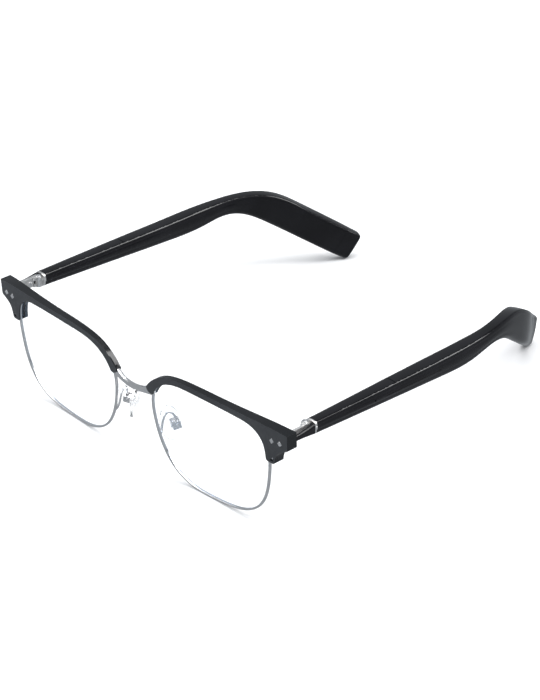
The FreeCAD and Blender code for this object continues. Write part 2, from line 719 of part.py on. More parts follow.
# ---- The finished glasses ----------------------------------------------------------------------------------
def make_front_half():
    lens = make_lens()
    rim = make_rim(lens)
    rivets = make_rivets()
    brow = make_brow_bar(rivets)
    pad_box = make_pad_box()
    return {
        "brow_bar": brow,
        "brow_rivets": rivets,
        "lens": lens,
        "rim": rim,
        "rim_lock": make_rim_lock(),
        "rim_screw": make_rim_screw(),
        "end_piece": make_end_piece(rivets),
        "end_cover": make_end_cover(brow, rivets),
        "end_screws": make_end_screws(),
        "hinge_screw": make_hinge_screw(),
        "pad_arm": make_pad_arm(rim, pad_box),
        "pad_box": pad_box,
        "pad_screw": make_pad_screw(),
        "pad_core": make_pad_core(),
        "nose_pad": make_nose_pad(),
    }


def at_rest(shape):
    laid = shape.copy()
    laid.rotate(Vec(0, 0, 0), Vec(1, 0, 0), -REST_TILT)
    laid.translate(Vec(0, REST_BACK, REST_HEIGHT))
    return laid


def main():
    os.makedirs("parts", exist_ok=True)
    halves = {**make_front_half(), **make_temple()}
    at_rest(make_bridge(halves["brow_bar"])).exportStep("parts/bridge.step")
    for name, shape in halves.items():
        at_rest(shape).exportStep(f"parts/{name}_left.step")
        at_rest(mirrored(shape)).exportStep(f"parts/{name}_right.step")


main()
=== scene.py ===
import json
import math

import bmesh
import bpy
import numpy as np
from mathutils import Matrix, Vector


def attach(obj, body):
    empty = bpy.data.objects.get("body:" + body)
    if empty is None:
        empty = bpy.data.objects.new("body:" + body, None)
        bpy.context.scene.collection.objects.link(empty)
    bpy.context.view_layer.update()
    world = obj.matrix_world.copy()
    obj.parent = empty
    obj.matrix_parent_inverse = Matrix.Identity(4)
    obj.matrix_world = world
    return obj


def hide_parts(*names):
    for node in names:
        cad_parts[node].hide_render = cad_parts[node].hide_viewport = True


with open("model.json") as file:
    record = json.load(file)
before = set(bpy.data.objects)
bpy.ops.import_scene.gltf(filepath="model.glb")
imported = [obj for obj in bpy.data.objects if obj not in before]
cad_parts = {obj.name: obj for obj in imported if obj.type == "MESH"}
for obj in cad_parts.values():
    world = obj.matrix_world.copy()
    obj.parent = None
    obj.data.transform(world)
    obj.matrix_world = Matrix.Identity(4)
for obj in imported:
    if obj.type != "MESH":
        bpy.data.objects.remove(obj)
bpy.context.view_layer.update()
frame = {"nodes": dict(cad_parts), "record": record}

MM = 0.001
NODES = frame["nodes"]
BODIES = frame["record"]["behaviour"]["bodies"]
BODY_OF = {node: body for body, nodes in BODIES.items() for node in nodes}
SLOT_OF = {part["node"]: part["material_slot"] for part in frame["record"]["subparts"]}
SIDES = (("left", 1.0), ("right", -1.0))

# ---- The wearing frame: the shapes below are drawn in it, and the record says how it lies on the table ---
# In it +X is the wearer's left, +Y is back and +Z is up. Lengths are in mm.
HINGE_POINT = Vector((66.9, 15.5, -3.0))
JOINTS = frame["record"]["behaviour"]["joints"]
HINGE = next(joint for joint in JOINTS if joint["name"] == "temple_left_fold")
TILT = math.atan2(HINGE["axis"][1], HINGE["axis"][2])
LAID = Matrix.Rotation(-TILT, 4, "X")
LAID.translation = Vector(HINGE["pos_m"]) - LAID.to_3x3() @ HINGE_POINT * MM


def placed(points, side):
    """Points in the wearing frame (mm, wearer's left) to the row frame (m), mirrored for the other side."""
    return [LAID @ (Vector((p[0] * side, p[1], p[2])) * MM) for p in points]


# ---- Materials -----------------------------------------------------------------------------------------
BUMP_DEPTH = 0.00002
NOISE_DETAIL = 4.0


def new_material(name):
    material = bpy.data.materials.new(name)
    material.use_nodes = True
    nodes = material.node_tree.nodes
    return material, nodes, material.node_tree.links, nodes["Principled BSDF"]


def textured(nodes, links, scale, stretch=(1.0, 1.0, 1.0)):
    """Object-space noise, stretched along the axes given."""
    coords = nodes.new("ShaderNodeTexCoord")
    mapping = nodes.new("ShaderNodeMapping")
    mapping.inputs["Scale"].default_value = stretch
    noise = nodes.new("ShaderNodeTexNoise")
    noise.inputs["Scale"].default_value = scale
    noise.inputs["Detail"].default_value = NOISE_DETAIL
    links.new(coords.outputs["Object"], mapping.inputs["Vector"])
    links.new(mapping.outputs["Vector"], noise.inputs["Vector"])
    return noise.outputs["Fac"]


def spread(nodes, links, value, low, high):
    """Maps a noise value, most of which lies between 0.3 and 0.7, to low..high."""
    ramp = nodes.new("ShaderNodeMapRange")
    ramp.inputs["From Min"].default_value = 0.3
    ramp.inputs["From Max"].default_value = 0.7
    ramp.inputs["To Min"].default_value = low
    ramp.inputs["To Max"].default_value = high
    links.new(value, ramp.inputs["Value"])
    return ramp.outputs["Result"]


def tinted(nodes, links, value, dark, light):
    """Colour that drifts between dark and light with a noise value."""
    mix = nodes.new("ShaderNodeMix")
    mix.data_type = "RGBA"
    mix.inputs["A"].default_value = (*dark, 1)
    mix.inputs["B"].default_value = (*light, 1)
    links.new(spread(nodes, links, value, 0.0, 1.0), mix.inputs["Factor"])
    return mix.outputs["Result"]


def bumped(nodes, links, shader, height, strength, distance):
    bump = nodes.new("ShaderNodeBump")
    bump.inputs["Strength"].default_value = strength
    bump.inputs["Distance"].default_value = distance
    links.new(height, bump.inputs["Height"])
    links.new(bump.outputs["Normal"], shader.inputs["Normal"])


def plastic(name, dark, light, rough, specular=0.5, grain=900.0, strength=0.05):
    """Moulded plastic: faint colour drift, polish that varies a little, and a very fine surface."""
    material, nodes, links, shader = new_material(name)
    drift = textured(nodes, links, 60.0)
    fine = textured(nodes, links, grain)
    links.new(tinted(nodes, links, drift, dark, light), shader.inputs["Base Color"])
    links.new(spread(nodes, links, fine, *rough), shader.inputs["Roughness"])
    shader.inputs["Specular IOR Level"].default_value = specular
    bumped(nodes, links, shader, fine, strength, BUMP_DEPTH)
    return material


def metal(name, dark, light, rough, stretch=(1.0, 1.0, 1.0)):
    """Metal with brush or polish marks along the stretched axis."""
    material, nodes, links, shader = new_material(name)
    marks = textured(nodes, links, 700.0, stretch)
    links.new(tinted(nodes, links, marks, dark, light), shader.inputs["Base Color"])
    links.new(spread(nodes, links, marks, *rough), shader.inputs["Roughness"])
    shader.inputs["Metallic"].default_value = 1.0
    bumped(nodes, links, shader, marks, 0.08, BUMP_DEPTH)
    return material


def clear_lens(name):
    """A coated lens: lets the light through and adds a very weak reflection, stronger at grazing angles."""
    material, nodes, links, shader = new_material(name)
    nodes.remove(shader)
    through = nodes.new("ShaderNodeBsdfTransparent")
    through.inputs["Color"].default_value = (0.985, 0.99, 0.99, 1)
    facing = nodes.new("ShaderNodeLayerWeight")
    facing.inputs["Blend"].default_value = 0.25
    sheen = nodes.new("ShaderNodeMix")
    sheen.data_type = "RGBA"
    sheen.inputs["A"].default_value = (0.012, 0.014, 0.018, 1)
    sheen.inputs["B"].default_value = (0.10, 0.12, 0.15, 1)
    links.new(facing.outputs["Fresnel"], sheen.inputs["Factor"])
    gloss = nodes.new("ShaderNodeBsdfGlossy")
    gloss.inputs["Roughness"].default_value = 0.02
    links.new(sheen.outputs["Result"], gloss.inputs["Color"])
    both = nodes.new("ShaderNodeAddShader")
    links.new(through.outputs["BSDF"], both.inputs[0])
    links.new(gloss.outputs["BSDF"], both.inputs[1])
    links.new(both.outputs["Shader"], nodes["Material Output"].inputs["Surface"])
    return material


def silicone(name):
    """Clear soft silicone with a slightly uneven polish."""
    material, nodes, links, shader = new_material(name)
    fine = textured(nodes, links, 500.0)
    links.new(spread(nodes, links, fine, 0.05, 0.14), shader.inputs["Roughness"])
    shader.inputs["Base Color"].default_value = (0.97, 0.98, 0.98, 1)
    shader.inputs["Transmission Weight"].default_value = 0.96
    shader.inputs["IOR"].default_value = 1.33
    bumped(nodes, links, shader, fine, 0.03, 0.00003)
    return material


MATERIALS = {
    "brow": plastic(
        "brow_polished", (0.005, 0.006, 0.007), (0.010, 0.011, 0.013), (0.10, 0.17), 0.34),
    "temple_gloss": plastic(
        "temple_gloss", (0.003, 0.003, 0.004), (0.007, 0.007, 0.009), (0.08, 0.14), 0.34),
    "rim_metal": metal("rim_metal", (0.84, 0.84, 0.85), (0.95, 0.95, 0.96), (0.14, 0.24)),
    "hinge_metal": metal(
        "hinge_metal", (0.84, 0.83, 0.82), (0.95, 0.94, 0.93), (0.26, 0.38), (1, 0.12, 1)),
    "steel": metal("small_steel", (0.80, 0.80, 0.81), (0.94, 0.94, 0.95), (0.20, 0.32)),
    "lens": clear_lens("lens_clear"),
    "pad_silicone": silicone("pad_silicone"),
    "battery_foil": metal("battery_foil", (0.55, 0.56, 0.57), (0.72, 0.73, 0.74), (0.3, 0.45)),
    "board": plastic("board_mask", (0.010, 0.09, 0.045), (0.02, 0.14, 0.07), (0.3, 0.45)),
    "driver": plastic("driver_can", (0.02, 0.02, 0.022), (0.04, 0.04, 0.043), (0.3, 0.5)),
    "mesh": metal("grille_plate", (0.05, 0.05, 0.052), (0.10, 0.10, 0.102), (0.35, 0.5)),
    "flex": plastic("flex_film", (0.32, 0.15, 0.03), (0.45, 0.24, 0.06), (0.2, 0.3)),
    "contact_gold": metal("contact_gold", (0.75, 0.55, 0.22), (0.88, 0.68, 0.32), (0.12, 0.22)),
}
# Front face of the brow bars: the satin roughness is its finish, but its charcoal colour, lighter than the
# polished black, is painted light on the front.
BROW_FRONT_SATIN_PAINTED_LIGHT = plastic(
    "brow_satin_painted_light", (0.026, 0.029, 0.034), (0.040, 0.044, 0.050), (0.36, 0.46), grain=1500.0, strength=0.12)


# ---- Mesh helpers --------------------------------------------------------------------------------------
SHARP_ANGLE = math.radians(40.0)
BEVEL_ANGLE = math.radians(35.0)
FLAT_ANGLE = math.radians(0.4)
WELD = 1e-6


def stands_for(piece, node, sharp=SHARP_ANGLE):
    """Gives a piece its material and ties it to the CAD node it replaces."""
    slot = SLOT_OF[node]
    if not piece.data.materials:
        piece.data.materials.append(MATERIALS[slot])
    piece.data.set_sharp_from_angle(angle=sharp)
    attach(piece, BODY_OF[node])
    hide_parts(node)
    return piece


def link(name, mesh):
    piece = bpy.data.objects.new(name, mesh)
    bpy.context.scene.collection.objects.link(piece)
    return piece


def mesh_piece(name, points, faces):
    """A smooth-shaded piece from its points and faces, with its faces turned outwards."""
    mesh = bpy.data.meshes.new(name)
    mesh.from_pydata([tuple(p) for p in points], [], faces)
    graph = bmesh.new()
    graph.from_mesh(mesh)
    bmesh.ops.recalc_face_normals(graph, faces=graph.faces)
    graph.to_mesh(mesh)
    graph.free()
    for face in mesh.polygons:
        face.use_smooth = True
    return link(name, mesh)


def tube_faces(rings, around, closed_path=False):
    """Faces of a grid of rings, with end caps unless the path closes."""
    faces = []
    for i in range(rings if closed_path else rings - 1):
        for j in range(around):
            a, b = i * around, ((i + 1) % rings) * around
            k = (j + 1) % around
            faces.append((a + j, a + k, b + k, b + j))
    if not closed_path:
        faces.append(tuple(range(around)))
        faces.append(tuple(reversed(range((rings - 1) * around, rings * around))))
    return faces


def applied(piece):
    """The piece's mesh with its modifiers applied."""
    evaluated = piece.evaluated_get(bpy.context.evaluated_depsgraph_get())
    mesh = bpy.data.meshes.new_from_object(evaluated)
    piece.modifiers.clear()
    old = piece.data
    piece.data = mesh
    bpy.data.meshes.remove(old)
    return piece


def refined(node, bevel):
    """The CAD node's own shape, cleaned, with finished edges of this width that catch the light."""
    mesh = NODES[node].data.copy()
    mesh.materials.clear()
    for attribute in [a for a in mesh.attributes if a.name == "custom_normal"]:
        mesh.attributes.remove(attribute)
    graph = bmesh.new()
    graph.from_mesh(mesh)
    bmesh.ops.remove_doubles(graph, verts=graph.verts, dist=WELD)
    bmesh.ops.dissolve_degenerate(graph, dist=WELD, edges=graph.edges)
    bmesh.ops.dissolve_limit(graph, angle_limit=FLAT_ANGLE, verts=graph.verts, edges=graph.edges)
    graph.to_mesh(mesh)
    graph.free()
    for face in mesh.polygons:
        face.use_smooth = True
    piece = link("vis_" + node, mesh)
    edge = piece.modifiers.new("edge", "BEVEL")
    edge.width = bevel * MM
    edge.segments = 2
    edge.limit_method = "ANGLE"
    edge.angle_limit = BEVEL_ANGLE
    edge.use_clamp_overlap = True
    edge.harden_normals = False
    bpy.context.view_layer.update()
    applied(piece)
    piece.data.set_sharp_from_angle(angle=SHARP_ANGLE)
    evened = piece.modifiers.new("evened", "WEIGHTED_NORMAL")
    evened.keep_sharp = True
    bpy.context.view_layer.update()
    return applied(piece)


# ---- Small parts keep the CAD shape, with finished edges -----------------------------------------------
EDGE_WIDTHS = {
    "end_piece": 0.12, "end_cover": 0.15, "hinge_leaf": 0.08, "temple_collar": 0.12, "rim_lock": 0.08,
    "pad_box": 0.08, "pad_core": 0.08, "pad_screw": 0.05, "hinge_screw": 0.06, "end_screws": 0.05,
    "rim_screw": 0.05, "brow_rivets": 0.06, "leaf_screws": 0.05, "charging_contacts": 0.05,
    "speaker_grille": 0.04,
}
BRIDGE_EDGE = 0.22
BROW_EDGE = 0.12
# Faces turned this far to the front get the satin finish and the painted lighter colour.
SATIN_PAINTED_LIGHT_NORMAL = -0.93

for side_name, _ in SIDES:
    for part_name, edge_width in EDGE_WIDTHS.items():
        node = part_name + "_" + side_name
        stands_for(refined(node, edge_width), node)
stands_for(refined("bridge", BRIDGE_EDGE), "bridge")


def make_brow(side_name):
    """Polished bar with a satin front face; the front's lighter charcoal colour is painted light, the face
    lit brighter than the top.
    """
    node = "brow_bar_" + side_name
    piece = refined(node, BROW_EDGE)
    piece.data.materials.append(MATERIALS["brow"])
    piece.data.materials.append(BROW_FRONT_SATIN_PAINTED_LIGHT)
    for face in piece.data.polygons:
        # Faces turned to the front get the satin material with its painted lighter colour.
        if face.normal.y < SATIN_PAINTED_LIGHT_NORMAL:
            face.material_index = 1
    return stands_for(piece, node)


for side_name, _ in SIDES:
    make_brow(side_name)


# ---- Rims: a rounded wire swept round the lens ---------------------------------------------------------
RIM_POINTS = [
    (62.9, -10.5), (62.5, -18.2), (60.8, -26.2), (56.8, -33.2), (49.9, -37.5), (42.3, -38.9),
    (34.9, -39.3), (26.6, -38.9), (18.1, -35.2), (12.5, -27.7), (9.7, -18.2), (9.7, -10.4),
    (13.3, -4.4), (19.2, -1.3), (27.0, -0.35), (37.0, -0.2), (47.0, -0.4), (54.0, -0.9), (60.3, -3.6),
]
FACE_RADIUS = 820.0
FRONT_START = -0.3
PANTO = math.radians(4.1)
RIM_SETBACK = 0.5
RIM_DEPTH = 1.1
RIM_WIDTH = 0.8
RIM_CORNER = 0.3
RIM_STEPS = 200
LENS_STEPS = 120
LENS_CENTRE = np.array((36.2, -19.8))
LENS_FRONT = 0.35
LENS_BACK = 0.75
LENS_DOME = 0.25
LENS_BITE = 0.3
LENS_ROWS = (0.02, 0.2, 0.4, 0.6, 0.8, 0.93, 1.0)


def bend(t_before, t_after, low, here, high):
    """Right-hand side of the smoothness condition at one point of a cubic."""
    return 3 * ((here - low) / t_before ** 2 + (high - here) / t_after ** 2)


def spline_slopes(t, values, closed):
    """Slopes of the smooth cubic through values at t."""
    n = len(t)
    matrix = np.zeros((n, n))
    right = np.zeros((n, values.shape[1]))
    if closed:
        period = t[-1] + np.linalg.norm(values[0] - values[-1]) - t[0]
        for i in range(n):
            before = (t[i] - t[i - 1]) if i else period - (t[-1] - t[0])
            after = (t[i + 1] - t[i]) if i < n - 1 else period - (t[-1] - t[0])
            matrix[i, i - 1] += 1 / before
            matrix[i, i] += 2 / before + 2 / after
            matrix[i, (i + 1) % n] += 1 / after
            right[i] = bend(before, after, values[i - 1], values[i], values[(i + 1) % n])
        return np.linalg.solve(matrix, right)
    for i in range(1, n - 1):
        before, after = t[i] - t[i - 1], t[i + 1] - t[i]
        matrix[i, i - 1:i + 2] = (1 / before, 2 / before + 2 / after, 1 / after)
        right[i] = bend(before, after, values[i - 1], values[i], values[i + 1])
    for row, first in ((0, 0), (n - 1, n - 4)):
        matrix[row, row] = 1
        fit = np.linalg.solve(np.vander(t[first:first + 4] - t[row], 4), values[first:first + 4])
        right[row] = fit[2]
    return np.linalg.solve(matrix, right)


def spline_at(t, values, slopes, x):
    """The cubic's value at x."""
    i = int(np.clip(np.searchsorted(t, x) - 1, 0, len(t) - 2))
    h = t[i + 1] - t[i]
    s = (x - t[i]) / h
    a = (1 + 2 * s) * (1 - s) ** 2 * values[i] + s * s * (3 - 2 * s) * values[i + 1]
    b = h * (s * (1 - s) ** 2 * slopes[i] + s * s * (s - 1) * slopes[i + 1])
    return a + b


def rim_path(steps):
    """Points and outward normals round the rim, in the XZ plane."""
    values = np.array(RIM_POINTS, float)
    gaps = np.linalg.norm(np.roll(values, -1, 0) - values, axis=1)
    t = np.concatenate(([0.0], np.cumsum(gaps)[:-1]))
    slopes = spline_slopes(t, values, True)
    period = gaps.sum()
    t = np.append(t, period)
    values = np.vstack((values, values[0]))
    slopes = np.vstack((slopes, slopes[0]))
    points = [spline_at(t, values, slopes, period * i / steps) for i in range(steps)]
    normals = []
    for i in range(steps):
        along = points[(i + 1) % steps] - points[i - 1]
        along /= np.linalg.norm(along)
        normals.append(np.array((-along[1], along[0])))
    return points, normals


def on_front_level(x, z, back):
    """The point back mm behind the brow bars' face, at exactly this height: the front leans by shear."""
    y = FRONT_START + FACE_RADIUS - math.sqrt(FACE_RADIUS ** 2 - x * x) + back
    return (x, y - z * math.tan(PANTO), z)


def rounded_box(half_u, half_v, radius, steps=4):
    """A closed profile with rounded corners."""
    profile = []
    for cu, cv, start in ((1, 1, 0), (-1, 1, 90), (-1, -1, 180), (1, -1, 270)):
        for k in range(steps + 1):
            a = math.radians(start + 90 * k / steps)
            u = cu * (half_u - radius) + radius * math.cos(a)
            v = cv * (half_v - radius) + radius * math.sin(a)
            profile.append((u, v))
    return profile


def make_rim(side_name, side):
    points, normals = rim_path(RIM_STEPS)
    profile = rounded_box(RIM_WIDTH / 2, RIM_DEPTH / 2, RIM_CORNER)
    ring = []
    for (x, z), (nx, nz) in zip(points, normals):
        for u, v in profile:
            ring.append(on_front_level(x + nx * u, z + nz * u, RIM_SETBACK + RIM_DEPTH / 2 + v))
    faces = tube_faces(len(points), len(profile), closed_path=True)
    node = "rim_" + side_name
    return stands_for(mesh_piece("vis_" + node, placed(ring, side), faces), node, math.radians(60.0))


def make_lens(side_name, side):
    """A smooth domed disc, from rings that shrink towards the middle."""
    points, normals = rim_path(LENS_STEPS)
    edge = [p - n * (RIM_WIDTH / 2 - LENS_BITE) for p, n in zip(points, normals)]
    rings = [(share, LENS_FRONT) for share in LENS_ROWS]
    rings += [(share, LENS_BACK) for share in reversed(LENS_ROWS)]
    grid = []
    for share, back in rings:
        dome = LENS_DOME * (1 - share ** 2)
        for p in edge:
            x, z = LENS_CENTRE + (p - LENS_CENTRE) * share
            grid.append(on_front_level(x, z, RIM_SETBACK + back - dome))
    faces = tube_faces(len(rings), len(edge))
    node = "lens_" + side_name
    return stands_for(mesh_piece("vis_" + node, placed(grid, side), faces), node, math.radians(50.0))


for side_name, side in SIDES:
    make_rim(side_name, side)
    make_lens(side_name, side)


# ---- Temples -------------------------------------------------------------------------------------------
# Each station: x, y, z of the spine, then the section's full height and width.
STATIONS = np.array((
    (68.0, 17.0, -3.4, 5.1, 4.5), (67.9, 36.0, -3.8, 5.9, 5.1), (67.7, 56.0, -4.2, 6.8, 5.6),
    (67.5, 76.0, -4.6, 7.7, 5.8), (67.2, 92.0, -4.4, 7.7, 5.5), (66.1, 103.0, -3.7, 6.5, 5.0),
    (63.9, 112.0, -4.7, 8.2, 5.2), (60.6, 121.0, -8.2, 11.0, 5.7), (56.3, 131.0, -15.1, 11.6, 5.6),
    (49.5, 141.0, -22.5, 11.6, 5.2), (44.65, 149.2, -28.3, 11.0, 4.7)))
STATION_Y = STATIONS[:, 1]
STATION_SLOPES = spline_slopes(STATION_Y, STATIONS, False)
SHELL_START = 18.0
TIP_Y = 149.2
CAP_LENGTH = 6.6
SHOULDER = 1.5
LID_MARGIN = 0.75
LID_DEPTH = 0.9
SEAM = 0.07
WALL = 0.8
TIP_ROUND = 1.1
TOP_FLAT = 0.62
CROWN = 0.12
FLOOR_WALL = 1.5
SLOT_SPAN = (49.0, 75.0)
GRILLE_SPAN = (80.0, 88.5)
LID_GROOVE_SPAN = (53.65, 53.95)
PORT_Y = 43.9
PORT_HEIGHT = 0.55
PORT_RADIUS = 0.35
SHELL_RINGS = 150
CAP_RINGS = 14


def station(y):
    return spline_at(STATION_Y, STATIONS, STATION_SLOPES, y)


def section_frame(y):
    """Middle of the section, its three axes and its half height and half width."""
    here = station(y)
    along = Vector(station(y + 0.05)[:3] - station(y - 0.05)[:3]).normalized()
    across = Vector((along.y, -along.x, 0)).normalized()
    return Vector(here[:3]), across, across.cross(along), along, here[3] / 2, here[4] / 2


def three_point_arc(a, m, b, steps):
    """Points on the circle through a, m and b, without the last."""
    (ax, ay), (mx, my), (bx, by) = a, m, b
    squares = [x * x + y * y for x, y in (a, m, b)]
    d = 2 * (ax * (my - by) + mx * (by - ay) + bx * (ay - my))
    if abs(d) < 1e-9:
        return [(ax + (bx - ax) * k / steps, ay + (by - ay) * k / steps) for k in range(steps)]
    ux = (squares[0] * (my - by) + squares[1] * (by - ay) + squares[2] * (ay - my)) / d
    uy = (squares[0] * (bx - mx) + squares[1] * (ax - bx) + squares[2] * (mx - ax)) / d
    radius = math.hypot(ax - ux, ay - uy)
    start, middle, end = (math.atan2(q[1] - uy, q[0] - ux) for q in (a, m, b))
    sweep = (end - start) % math.tau
    if (middle - start) % math.tau > sweep:
        sweep -= math.tau
    angles = [start + sweep * k / steps for k in range(steps)]
    return [(ux + radius * math.cos(angle), uy + radius * math.sin(angle)) for angle in angles]


def outer_profile(half_h, half_w, u_start):
    """From u_start on top, down the outer side, round the bottom, up the inner side and to -u_start."""
    flat = half_w - TOP_FLAT
    low = half_w * 0.95 - half_h
    top = (flat, half_h)
    shoulder = (half_w - 0.06, half_h - SHOULDER)
    heel = (half_w - 0.3, low)
    side = three_point_arc(top, (half_w - 0.26, half_h - 0.42), shoulder, 8)
    side += three_point_arc(shoulder, (half_w + 0.02, 0), heel, 8)
    bottom = three_point_arc(heel, (0, -half_h), (-heel[0], low), 18)
    inner = [(-u, v) for u, v in reversed(side)]
    ends = [(-flat, half_h), (-u_start, half_h)]
    return [(u_start, half_h)] + side + bottom + [(-heel[0], low)] + inner[:-1] + ends


def swept(ys, profile_at, end_rings=()):
    """Points and faces of a closed skin along the temple. profile_at(half_h, half_w) gives the section."""
    points = []
    for y in ys:
        middle, across, up, _, half_h, half_w = section_frame(y)
        points += [middle + across * u + up * v for u, v in profile_at(half_h, half_w)]
    middle, across, up, along, half_h, half_w = section_frame(ys[-1])
    profile = profile_at(half_h, half_w)
    for s, inset in end_rings:
        shrink_u, shrink_v = 1 - inset / half_w, 1 - inset / half_h
        points += [middle + across * u * shrink_u + up * v * shrink_v + along * s for u, v in profile]
    return points, tube_faces(len(ys) + len(end_rings), len(profile))


def spaced(low, high, count):
    return [low + (high - low) * i / (count - 1) for i in range(count)]


def cap_start(step=0.05):
    """y at which the cap's seam crosses the spine."""
    length, y = 0.0, TIP_Y
    while length < CAP_LENGTH:
        length += (Vector(station(y)[:3]) - Vector(station(y - step)[:3])).length
        y -= step
    return y


CAP_Y = cap_start()


def crown_height(u, half_h, half_w):
    """Height of the gently crowned top at u."""
    return half_h + CROWN * (1 - (u / (half_w - TOP_FLAT)) ** 2)


def shell_profile(half_h, half_w):
    """A U-shaped wall, open at the top where the lid sits."""
    edge = half_w - LID_MARGIN + SEAM
    outside = outer_profile(half_h, half_w, edge + 0.10)
    lip, roof, ledge = half_h - 0.12, half_h - LID_DEPTH, half_h - LID_DEPTH - 0.01
    inner_u, floor = half_w - WALL, FLOOR_WALL - half_h
    inside = [(-edge, lip), (-edge, roof), (-inner_u, ledge), (-inner_u, floor)]
    return outside + inside + [(-u, v) for u, v in reversed(inside)]


def lid_profile(half_h, half_w):
    """The lid's crowned top, with softly broken edges."""
    edge = half_w - LID_MARGIN
    top = [(u, crown_height(u, half_h, half_w)) for u in [edge * k / 6 for k in range(-5, 6)]]
    left = [(-edge, half_h - LID_DEPTH + 0.02), (-edge, half_h - 0.16)]
    left += [(-edge + 0.05, half_h - 0.03), (-edge + 0.16, half_h + 0.03)]
    return left + top + [(-u, v) for u, v in reversed(left)]


def cap_profile(half_h, half_w):
    """The closed section of the end cap."""
    start = half_w - 0.9
    crown = [(u, crown_height(u, half_h, half_w)) for u in [start * k / 4 for k in range(-3, 4)]]
    return outer_profile(half_h, half_w, start) + crown


BLOCK_FACES = ((0, 1, 2, 3), (7, 6, 5, 4), (0, 4, 5, 1), (1, 5, 6, 2), (2, 6, 7, 3), (3, 7, 4, 0))


def block(span, extents):
    """Corners of a box along the temple. extents(half_h, half_w) gives its section's u0, u1, v0 and v1."""
    corners = []
    for y in span:
        middle, across, up, _, half_h, half_w = section_frame(y)
        u0, u1, v0, v1 = extents(half_h, half_w)
        corners += [middle + across * u + up * v for u, v in ((u0, v0), (u1, v0), (u1, v1), (u0, v1))]
    return corners


def joined(blocks):
    """One mesh of several boxes."""
    vertices, faces = [], []
    for corners in blocks:
        base = len(vertices)
        vertices += corners
        faces += [tuple(base + i for i in face) for face in BLOCK_FACES]
    return vertices, faces


def round_port(steps=16):
    """A round tool through the outer wall, as two facing rings."""
    middle, across, up, along, _, half_w = section_frame(PORT_Y)
    rings = []
    for u in (half_w - 0.5, half_w + 0.5):
        for k in range(steps):
            a = math.tau * k / steps
            rise, run = PORT_HEIGHT + PORT_RADIUS * math.sin(a), PORT_RADIUS * math.cos(a)
            rings.append(middle + across * u + up * rise + along * run)
    return rings, tube_faces(2, steps)


def carve(piece, tool_mesh, side, overlapping):
    """Cuts a tool out of a piece. overlapping allows for boxes that cross each other."""
    vertices, faces = tool_mesh
    tool = mesh_piece("carving_tool", placed(vertices, side), faces)
    carving = piece.modifiers.new("carve", "BOOLEAN")
    carving.operation = "DIFFERENCE"
    carving.solver = "EXACT"
    carving.use_self = overlapping
    carving.object = tool
    bpy.context.view_layer.update()
    applied(piece)
    bpy.data.objects.remove(tool)


def make_shell(side_name, side, ys, groove):
    """The temple's body, with its outer slot, the grille's opening, the groove and the microphone's port."""
    node = "temple_shell_" + side_name
    points, faces = swept(ys, shell_profile)
    shell = mesh_piece("vis_" + node, placed(points, side), faces)
    slot = block(SLOT_SPAN, lambda half_h, half_w: (half_w - 0.16, half_w + 0.6, 0.42, 0.72))
    opening = block(GRILLE_SPAN, lambda half_h, half_w: (-0.9, 0.9, -half_h - 1, 1.6 - half_h))
    carve(shell, joined([slot, opening, groove]), side, True)
    carve(shell, round_port(), side, False)
    stands_for(shell, node, math.radians(32.0))


def make_lid(side_name, side, ys, groove):
    node = "temple_lid_" + side_name
    points, faces = swept(ys, lid_profile)
    lid = mesh_piece("vis_" + node, placed(points, side), faces)
    carve(lid, joined([groove]), side, True)
    stands_for(lid, node, math.radians(32.0))


def make_cap(side_name, side):
    """The end cap, with a rounded end."""
    node = "tip_cap_" + side_name
    body = spaced(CAP_Y + 0.05, TIP_Y - 0.9, CAP_RINGS)
    shift = (Vector(station(TIP_Y)[:3]) - Vector(station(body[-1])[:3])).length
    end_rings = []
    for a in [math.radians(15 * k) for k in range(7)]:
        s = shift - TIP_ROUND * (1 - math.sin(a))
        if s > 0.05:
            end_rings.append((s, TIP_ROUND * (1 - math.cos(a))))
    points, faces = swept(body, cap_profile, end_rings)
    stands_for(mesh_piece("vis_" + node, placed(points, side), faces), node, math.radians(50.0))


def make_temple(side_name, side):
    ys = spaced(SHELL_START, CAP_Y - 0.03, SHELL_RINGS)
    groove = block(
        LID_GROOVE_SPAN, lambda half_h, half_w: (-half_w - 1, half_w + 1, half_h - 0.14, half_h + 1))
    make_shell(side_name, side, ys, groove)
    make_lid(side_name, side, ys, groove)
    make_cap(side_name, side)


for side_name, side in SIDES:
    make_temple(side_name, side)


# ---- Nose pads and their wire arms ---------------------------------------------------------------------
PAD_LENGTH = 13.0
PAD_WIDTH = 7.8
PAD_THICK = 2.0
PAD_CENTRE = Vector((9.3, 9.3, -24.4))
PAD_LONG = Vector((0.23, 0.115, -0.966)).normalized()
PAD_SHORT = Vector((0.45, 0.88, 0.0))
PAD_SHORT = (PAD_SHORT - PAD_LONG * PAD_SHORT.dot(PAD_LONG)).normalized()
PAD_OUT = PAD_LONG.cross(PAD_SHORT)
CORE_CENTRE = PAD_CENTRE + PAD_SHORT * 1.2
ARM_RADIUS = 0.42
ARM_REACH = 3.85
ARM_ROUTE = ((11.3, 2.9, -25.6), (10.75, 4.3, -22.6), (10.8, 5.4, -19.6), (11.1, 6.8, -18.5),
             (11.9, 8.3, -19.7), (12.5, 9.0, -22.2))


def make_pad(side_name, side, around=64, rows=18):
    """A clear oval cushion: crowned towards the nose, flatter behind, with a full rounded edge."""
    points = []
    for row in range(1, rows):
        a = math.pi * row / rows
        reach = math.sin(a) ** 0.62
        height = -math.cos(a) * (1.0 if math.cos(a) > 0 else 0.92)
        for step in range(around):
            t = math.tau * step / around
            taper = 1 - 0.10 * math.cos(t)
            length = -math.cos(t) * PAD_LENGTH / 2 * reach
            width = math.sin(t) * PAD_WIDTH / 2 * reach * taper
            rise = height * PAD_THICK / 2
            points.append(PAD_CENTRE + PAD_LONG * length + PAD_SHORT * width + PAD_OUT * rise)
    node = "nose_pad_" + side_name
    pad = mesh_piece("vis_" + node, placed(points, side), tube_faces(rows - 1, around))
    stands_for(pad, node, math.radians(60.0))


